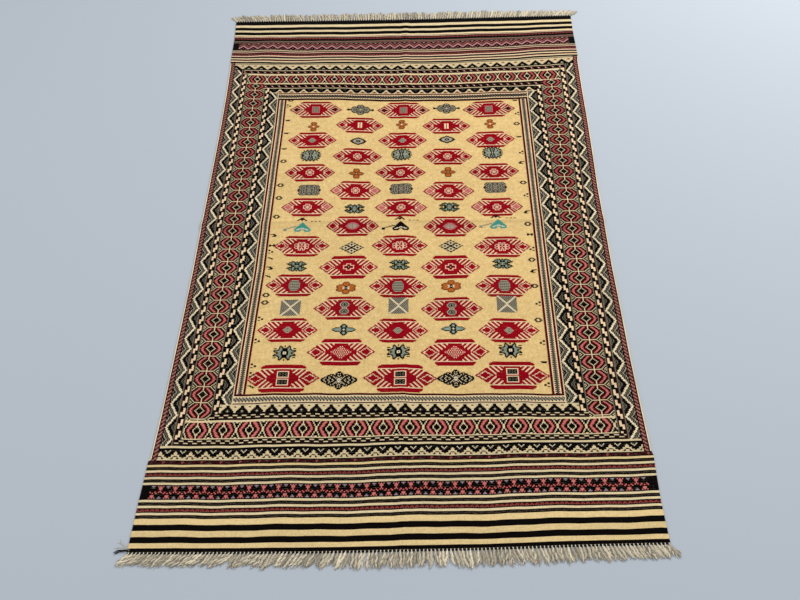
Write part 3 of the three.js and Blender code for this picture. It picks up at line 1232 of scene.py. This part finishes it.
def strand_path(end, index):
    """The line down a strand's middle, from root to tip, and which way it points."""
    outward = -1 if end == "near" else 1
    left, right = end_corners(end)
    share = index / (STRANDS_PER_END - 1)
    across = left + SIDE_MARGIN + (right - left - 2 * SIDE_MARGIN) * share
    along = end_line(end, across) + outward * (EDGING_GAP + EDGING_WIDE / 2)
    length = STRAND_LONG[end] + STRAND_LENGTH_SPREAD * unevenness(index, 2)
    clump = 0.05 * math.sin(index * 0.9) + 0.03 * math.sin(index * 0.37 + 1.3)
    lean = float(np.interp(share, LEAN_SHARES, LEANS[end])) + clump + 0.015 * unevenness(index, 1)
    stations = np.linspace(0, 1, PLY_STATIONS)
    angles = lean * np.interp(stations, TURN_SHARES, TURNS)
    step = length / (PLY_STATIONS - 1)
    path_across = across + np.concatenate([[0], np.cumsum(np.sin(angles[1:]) * step)])
    path_along = along + outward * np.concatenate([[0], np.cumsum(np.cos(angles[1:]) * step)])
    return path_across, path_along, angles, outward


def tube(centres, radii, sides):
    """A closed tube through a line of centres; returns its points and faces."""
    ahead = np.gradient(centres, axis=0)
    ahead = ahead / np.linalg.norm(ahead, axis=1, keepdims=True)
    upward = np.array([0.0, 0.0, 1.0])
    sideways = np.cross(ahead, upward)
    sideways = sideways / np.maximum(np.linalg.norm(sideways, axis=1, keepdims=True), 1e-6)
    above = np.cross(sideways, ahead)
    turn = np.arange(sides) * 2 * np.pi / sides
    ring = sideways[:, None] * np.cos(turn)[None, :, None] + above[:, None] * np.sin(turn)[None, :, None]
    points = (centres[:, None] + ring * np.asarray(radii)[:, None, None]).reshape(-1, 3)
    faces = []
    for station in range(len(centres) - 1):
        for side in range(sides):
            here = station * sides + side
            beside = station * sides + (side + 1) % sides
            faces.append((here, beside, beside + sides, here + sides))
    return points, np.array(faces)


def join_parts(parts):
    """Several lots of points and faces as one."""
    points = []
    faces = []
    offset = 0
    for part_points, part_faces in parts:
        points.append(part_points)
        faces.append(part_faces + offset)
        offset += len(part_points)
    return np.concatenate(points), np.concatenate(faces)


def yarn_piece(name, parts, colours):
    """Tubes of yarn as one mesh, in one colour or in one for each face."""
    points, faces = join_parts(parts)
    colours = np.broadcast_to(colours, (len(faces), 3))
    piece = make_mesh(name, points, faces, colours, points[:, :2] * YARN_MAP_SCALE)
    plan_layer(piece)
    return piece


def strand_parts(end, index, random):
    """One strand: two plies twisted round each other, with thinner yarns beside them and loose fibres."""
    across, along, angles, outward = strand_path(end, index)
    stations = np.linspace(0, 1, PLY_STATIONS)
    turned_aside = (random.random() - 0.5) * TIP_ASIDE * stations ** 1.4
    curl = CURL_DEEP * np.sin(stations * (4 + 6 * random.random()) + random.random() * 6)
    across = across + turned_aside + curl * stations
    along = along[0] + (along - along[0]) * (0.86 + 0.22 * random.random())
    thick = np.interp(stations, PLY_SHARES, PLY_THICK) * (0.85 + 0.3 * random.random())
    start_turn = random.random() * 6.28
    drift = (random.random() - 0.5) * TIP_DRIFT * stations ** 2
    part_list = []
    for ply in (0, math.pi):
        turn = start_turn + ply + stations * PLY_TURN
        aside = np.cos(turn) * thick * 0.75 + drift
        centres_across = across + aside * np.cos(angles)
        centres_along = along - outward * aside * np.sin(angles)
        high = thick + 0.1 + (1 + np.sin(turn)) * thick * 0.3
        centres = to_frame(centres_across, centres_along, high)
        part_list.append(tube(centres, thick * 0.001, PLY_SIDES))
    part_list += side_yarns(across, along, angles, outward, random)
    part_list += loose_fibres(across, along, angles, outward, random)
    return part_list


def side_yarns(across, along, angles, outward, random):
    """Six thinner yarns that lie beside a strand and wander away from it towards the tip."""
    parts = []
    stations = np.linspace(0, 1, PLY_STATIONS)
    for side in SIDE_YARN_PLACES:
        reach = (1.9 + 1.5 * random.random()) * side
        waver = 1.9 * np.sin(stations * (8 + 6 * random.random()) + random.random() * 6)
        aside = reach * stations ** 0.45 + waver * stations
        radius = 0.85 + 0.45 * random.random()
        shorter = 0.78 + 0.26 * random.random()
        path_across = across[0] + (across - across[0]) * shorter + aside * np.cos(angles)
        path_along = along[0] + (along - along[0]) * shorter - outward * aside * np.sin(angles)
        path_high = np.full(PLY_STATIONS, radius + 0.1)
        radii = np.interp(stations, [0, 0.15, 0.85, 1], [0.7, 1, 1, 0.4]) * radius * 0.001
        parts.append(tube(to_frame(path_across, path_along, path_high), radii, SIDE_YARN_SIDES))
    return parts


def loose_fibres(across, along, angles, outward, random):
    """The fine fibres that splay from a strand and its tip."""
    parts = []
    for fibre in range(FIBRES):
        first = PLY_STATIONS - 1 if fibre < FIBRES_AT_TIP else random.integers(3, 10)
        spread = (random.random() - 0.5) * 1.4
        long = 2 + 4 * random.random()
        shares = np.linspace(0, 1, 4)
        turned = angles[first] + spread * (0.4 + 0.6 * shares)
        start_across = across[first] + (random.random() - 0.5) * 1.2
        path_across = start_across + np.cumsum(np.sin(turned)) * long / 4
        path_along = along[first] + outward * np.cumsum(np.cos(turned)) * long / 4
        path_high = 0.9 + 1.1 * random.random() - 0.5 * shares
        parts.append(tube(to_frame(path_across, path_along, path_high), FIBRE_RADII, 3))
    return parts


def fringe_piece(end, seed):
    """All the strands of one end; each strand and each of its yarns is made lighter or darker at random,
    partly the cotton's own uneven tone and partly painted shade and highlight that stand for the shadows
    between strands.
    """
    random = np.random.default_rng(seed)
    parts = []
    shades = []
    for index in range(STRANDS_PER_END):
        # partly the cotton's own tone, partly painted shade and highlight: each strand and each yarn in it is
        # made lighter or darker at random
        strand_tone_and_painted_shade = 0.86 + 0.28 * random.random()
        for part in strand_parts(end, index, random):
            parts.append(part)
            shades.append(np.full(len(part[1]), strand_tone_and_painted_shade * (0.5 + 0.75 * random.random())))
    shade = np.concatenate(shades)
    shade = shade * (0.95 + 0.1 * random.random(len(shade)))
    return yarn_piece(f"fringe_strands_{end}", parts, linear(COTTON)[None, :] * shade[:, None])


def edging_piece(end):
    """The twined cord that holds the strands: two dark yarns turning round each other along the end."""
    outward = -1 if end == "near" else 1
    left, right = end_corners(end)
    places = np.linspace(left + 1, right - 1, EDGING_STATIONS)
    lines = np.array([end_line(end, place) for place in places])
    parts = []
    for ply in (0, math.pi):
        turn = places * 2 * math.pi / EDGING_TURN + ply
        along = lines + outward * (EDGING_GAP + EDGING_WIDE / 2 + EDGING_ASIDE * np.cos(turn))
        high = EDGING_MIDDLE + EDGING_LIFT * np.sin(turn)
        parts.append(tube(to_frame(places, along, high), np.full(len(places), EDGING_RADIUS), 6))
    return yarn_piece(f"edging_{end}", parts, linear(EDGING_YARN))


def root_knots_piece(end):
    """The pale loops of warp that show through the twined cord, one for each strand."""
    outward = -1 if end == "near" else 1
    shares = np.linspace(0, 1, len(LOOP_RADII))
    high = LOOP_FOOT + LOOP_HIGH * np.sin(shares * math.pi)
    parts = []
    for index in range(STRANDS_PER_END):
        across, along, _, _ = strand_path(end, index)
        path_along = along[0] + outward * (shares * LOOP_LONG - LOOP_INWARDS)
        path_across = across[0] + 0.5 * np.sin(shares * 3 + index)
        parts.append(tube(to_frame(path_across, path_along, high), LOOP_RADII, 6))
    return yarn_piece(f"root_loops_{end}", parts, linear(PALE_COTTON))


# Materials

def new_material(name):
    material = bpy.data.materials.new(name)
    material.use_nodes = True
    nodes = material.node_tree.nodes
    links = material.node_tree.links
    shader = nodes["Principled BSDF"]
    return material, nodes, links, shader


def math_node(nodes, links, operation, first, second=None):
    """A maths node; its inputs are sockets or plain values."""
    node = nodes.new("ShaderNodeMath")
    node.operation = operation
    for index, value in enumerate((first, second)):
        if value is None:
            continue
        if isinstance(value, (int, float)):
            node.inputs[index].default_value = value
        else:
            links.new(value, node.inputs[index])
    return node.outputs[0]


def noise_node(nodes, links, vector, scale, detail):
    node = nodes.new("ShaderNodeTexNoise")
    node.inputs["Scale"].default_value = scale
    node.inputs["Detail"].default_value = detail
    links.new(vector, node.inputs["Vector"])
    return node.outputs["Fac"]


def shade_by(nodes, links, colour, factor, low, high):
    """A colour made lighter or darker by a factor between nought and one."""
    span = nodes.new("ShaderNodeMapRange")
    span.inputs["To Min"].default_value = low
    span.inputs["To Max"].default_value = high
    links.new(factor, span.inputs["Value"])
    product = nodes.new("ShaderNodeVectorMath")
    product.operation = "SCALE"
    links.new(colour, product.inputs[0])
    links.new(span.outputs["Result"], product.inputs["Scale"])
    return product.outputs["Vector"]


def add_bump(nodes, links, shader, height, strength, distance):
    """Raises a surface by a height, with the distance in metres for a height of one."""
    bump = nodes.new("ShaderNodeBump")
    bump.inputs["Strength"].default_value = strength
    bump.inputs["Distance"].default_value = distance
    links.new(height, bump.inputs["Height"])
    links.new(bump.outputs["Normal"], shader.inputs["Normal"])


def stitch_counts(nodes, links):
    """The stitch map, and the stitch and the row in it."""
    counts = nodes.new("ShaderNodeUVMap")
    counts.uv_map = "stitches"
    split = nodes.new("ShaderNodeSeparateXYZ")
    links.new(counts.outputs["UV"], split.inputs[0])
    return counts.outputs["UV"], split.outputs[0], split.outputs[1]


def stitch_material():
    """Wool yarn in the charts' colours, slightly mottled, with a groove between one stitch and the next."""
    material, nodes, links, shader = new_material("woven_wool")
    yarn = nodes.new("ShaderNodeVertexColor")
    yarn.layer_name = "yarn"
    coordinates = nodes.new("ShaderNodeTexCoord")
    mottle = noise_node(nodes, links, coordinates.outputs["Object"], 260, 3)
    faded = noise_node(nodes, links, coordinates.outputs["Object"], 3.2, 2)
    colour = shade_by(nodes, links, yarn.outputs["Color"], mottle, 0.72, 1.26)
    colour = shade_by(nodes, links, colour, faded, 0.93, 1.07)
    links.new(colour, shader.inputs["Base Color"])
    _, stitch, _ = stitch_counts(nodes, links)
    wave = math_node(nodes, links, "SINE", math_node(nodes, links, "MULTIPLY", stitch, math.pi))
    groove = math_node(nodes, links, "POWER", math_node(nodes, links, "ABSOLUTE", wave), 0.6)
    fuzz = noise_node(nodes, links, coordinates.outputs["Object"], 900, 2)
    height = math_node(nodes, links, "ADD", groove, math_node(nodes, links, "MULTIPLY", fuzz, 0.5))
    add_bump(nodes, links, shader, height, 0.75, 0.0006)
    finish_wool(shader)
    return material


def finish_wool(shader):
    """Matte wool with a faint bloom at grazing angles."""
    shader.inputs["Roughness"].default_value = 0.93
    shader.inputs["Specular IOR Level"].default_value = 0.05
    shader.inputs["Sheen Weight"].default_value = 0.02
    shader.inputs["Sheen Roughness"].default_value = 0.5


def painted_crease_shade(nodes, links, row):
    """Painted shade along the crosswise fold: nought on the row where the rug was folded across, rising to
    one a few rows away.
    """
    offset = math_node(nodes, links, "SUBTRACT", row, FIELD_START + FIELD_MIDDLE_ROW)
    near = math_node(nodes, links, "MULTIPLY", math_node(nodes, links, "ABSOLUTE", offset), 0.4)
    return math_node(nodes, links, "MINIMUM", near, 1.0)


GROUND_DARK = (221, 186, 122)
GROUND_LIGHT = (235, 202, 138)


def ground_material():
    """The plain-woven cream ground, with faint bars of shade along the wefts and the cord of the warps, and a
    painted shade line that darkens its colour along the crosswise crease.
    """
    material, nodes, links, shader = new_material("ground_wool")
    coordinates = nodes.new("ShaderNodeTexCoord")
    counts, stitch, row = stitch_counts(nodes, links)
    stretched = nodes.new("ShaderNodeMapping")
    stretched.inputs["Scale"].default_value = (0.02, 0.25, 1)
    links.new(counts, stretched.inputs["Vector"])
    bars = noise_node(nodes, links, stretched.outputs["Vector"], 1.0, 2)
    patches = noise_node(nodes, links, coordinates.outputs["Object"], 90, 4)
    mixed = math_node(nodes, links, "ADD", math_node(nodes, links, "MULTIPLY", bars, 0.25),
                      math_node(nodes, links, "MULTIPLY", patches, 0.75))
    ramp = nodes.new("ShaderNodeValToRGB")
    ramp.color_ramp.elements[0].position = 0.36
    ramp.color_ramp.elements[0].color = (*linear(GROUND_DARK), 1)
    ramp.color_ramp.elements[1].position = 0.64
    ramp.color_ramp.elements[1].color = (*linear(GROUND_LIGHT), 1)
    links.new(mixed, ramp.inputs["Fac"])
    mottle = noise_node(nodes, links, coordinates.outputs["Object"], 240, 3)
    stain = noise_node(nodes, links, coordinates.outputs["Object"], 7, 2)
    colour = shade_by(nodes, links, ramp.outputs["Color"], mottle, 0.68, 1.28)
    colour = shade_by(nodes, links, colour, stain, 0.93, 1.06)
    # painted shade: the ground's colour is darkened along the crosswise crease, where the fold's shadow falls
    colour = shade_by(nodes, links, colour, painted_crease_shade(nodes, links, row), 0.84, 1.0)
    links.new(colour, shader.inputs["Base Color"])
    warp = math_node(nodes, links, "SINE", math_node(nodes, links, "MULTIPLY", stitch, math.pi * 2))
    weft = math_node(nodes, links, "SINE", math_node(nodes, links, "MULTIPLY", row, math.pi * 4))
    woven = math_node(nodes, links, "MULTIPLY", warp, weft)
    fuzz = noise_node(nodes, links, coordinates.outputs["Object"], 700, 2)
    height = math_node(nodes, links, "ADD", woven, math_node(nodes, links, "MULTIPLY", fuzz, 0.8))
    add_bump(nodes, links, shader, height, 0.6, 0.0003)
    finish_wool(shader)
    return material


def cotton_material():
    """Undyed cotton warp, or the dark edging yarn: the colour is on the mesh."""
    material, nodes, links, shader = new_material("fringe_cotton")
    yarn = nodes.new("ShaderNodeVertexColor")
    yarn.layer_name = "yarn"
    coordinates = nodes.new("ShaderNodeTexCoord")
    mottle = noise_node(nodes, links, coordinates.outputs["Object"], 420, 2)
    colour = shade_by(nodes, links, yarn.outputs["Color"], mottle, 0.82, 1.15)
    links.new(colour, shader.inputs["Base Color"])
    add_bump(nodes, links, shader, mottle, 0.5, 0.0003)
    finish_wool(shader)
    return material


def floor_material():
    material, nodes, links, shader = new_material("floor")
    shader.inputs["Base Color"].default_value = (*linear((182, 189, 197)), 1)
    shader.inputs["Roughness"].default_value = 0.9
    shader.inputs["Specular IOR Level"].default_value = 0.2
    return material


# Building

def build_rug():
    chart = rug_chart()
    last = ALL_STITCHES
    inner = BORDER_STITCHES
    wool = stitch_material()
    ground = ground_piece()
    ground.data.materials.append(ground_material())
    middle = FIELD_START + FIELD_MIDDLE_ROW
    regions = [
        ("bands_near", 0, NEAR_BAND_ROWS, 0, last),
        ("border_near", NEAR_BAND_ROWS, FIELD_START, 0, last),
        ("border_left", FIELD_START, FIELD_END, 0, inner),
        ("border_right", FIELD_START, FIELD_END, last - inner, last),
        ("field_near", FIELD_START, middle, inner, last - inner),
        ("field_far", middle, FIELD_END, inner, last - inner),
        ("border_far", FIELD_END, FAR_BORDER_END, 0, last),
        ("bands_far", FAR_BORDER_END, ALL_ROWS, 0, last),
    ]
    pieces = []
    for seed, (name, *limits) in enumerate(regions):
        piece = weave_piece(name, row_runs(chart, *limits), seed)
        piece.data.materials.append(wool)
        pieces.append(piece)
    for piece in [ground] + pieces:
        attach(piece, "root")
        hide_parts("rug_cloth")


def loose_end_piece():
    """The end of the dark edging yarn, which sticks out at the near left corner with a few cotton threads."""
    paths = [
        ([-621, -632, -643, -652], [2, 3, 1, -3], 1.3, (28, 25, 23)),
        ([-620, -633, -646, -655], [4, 5, 4, 0], 1.2, (34, 30, 27)),
        ([-619, -628, -640, -650], [6, 14, 20, 23], 0.6, (206, 196, 172)),
        ([-620, -630, -639, -646], [4, 10, 19, 30], 0.5, (206, 196, 172)),
        ([-618, -631, -645, -656], [2, 8, 11, 9], 0.5, (196, 186, 162)),
    ]
    parts = []
    colours = []
    for path_across, path_along, radius, yarn in paths:
        shares = np.linspace(0, 3, 13)
        across = np.interp(shares, range(4), path_across)
        along = np.interp(shares, range(4), path_along) + 0.5 * np.sin(shares * 4)
        high = np.interp(shares, [0, 0.4, 3], [2.6, 1.6, 0.2]) + radius
        taper = np.interp(shares, [0, 2.6, 3], [1, 1, 0.5]) * radius * 0.001
        part = tube(to_frame(across, along, high), taper, 6)
        parts.append(part)
        colours.append(np.repeat(linear(yarn)[None, :], len(part[1]), axis=0))
    return yarn_piece("loose_yarn_end", parts, np.concatenate(colours))


def build_fringes():
    cotton = cotton_material()
    loose_end = loose_end_piece()
    loose_end.data.materials.append(cotton)
    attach(loose_end, "root")
    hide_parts("fringe_near")
    for seed, end in enumerate(("near", "far")):
        for piece in (fringe_piece(end, 40 + seed), edging_piece(end), root_knots_piece(end)):
            piece.data.materials.append(cotton)
            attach(piece, "root")
            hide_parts(f"fringe_{end}")


FLOOR_WIDE = 30
FLOOR_BELOW = 0.0002


def build_floor():
    bpy.ops.mesh.primitive_plane_add(size=FLOOR_WIDE, location=(0, 0, -FLOOR_BELOW))
    floor = bpy.context.object
    floor.name = "floor"
    floor.data.materials.append(floor_material())


def area_light(name, place, energy, size, colour):
    data = bpy.data.lights.new(name, "AREA")
    data.energy = energy
    data.size = size
    data.color = colour
    lamp = bpy.data.objects.new(name, data)
    lamp.location = place
    lamp.rotation_mode = "QUATERNION"
    lamp.rotation_quaternion = (-Vector(place)).to_track_quat("-Z", "Y")
    bpy.context.scene.collection.objects.link(lamp)


def build_light():
    """Open shade: a wide soft sky with a little more light from the upper right."""
    world = bpy.data.worlds.new("sky")
    world.use_nodes = True
    background = world.node_tree.nodes["Background"]
    background.inputs["Color"].default_value = (0.93, 0.96, 1.0, 1)
    background.inputs["Strength"].default_value = 0.62
    bpy.context.scene.world = world
    area_light("sky_right", (2.6, 2.4, 2.6), 125, 1.6, (1.0, 0.98, 0.95))
    area_light("sky_left", (-3.0, -0.5, 3.2), 40, 3.0, (0.95, 0.97, 1.0))


def build_camera():
    """Hand-held above the near end, looking down along the rug."""
    data = bpy.data.cameras.new("camera")
    data.lens = 31.5
    data.sensor_width = 36
    data.shift_x = -0.0299
    data.shift_y = 0.0005
    camera = bpy.data.objects.new("camera", data)
    bpy.context.scene.collection.objects.link(camera)
    right = Vector((0.99987, -0.00946, -0.01362))
    upward = Vector((0.0152, 0.85065, 0.52551))
    back = Vector((0.00662, -0.52564, 0.85069))
    turn = Matrix((right, upward, back)).transposed()
    camera.matrix_world = Matrix.Translation((0.0775, -1.3102, 1.6686)) @ turn.to_4x4()
    bpy.context.scene.camera = camera


def set_tones():
    """Plain daylight tones, so that the yarns keep the colours of their charts."""
    bpy.context.scene.view_settings.view_transform = "Standard"


set_tones()
build_rug()
build_fringes()
build_floor()
build_light()
build_camera()
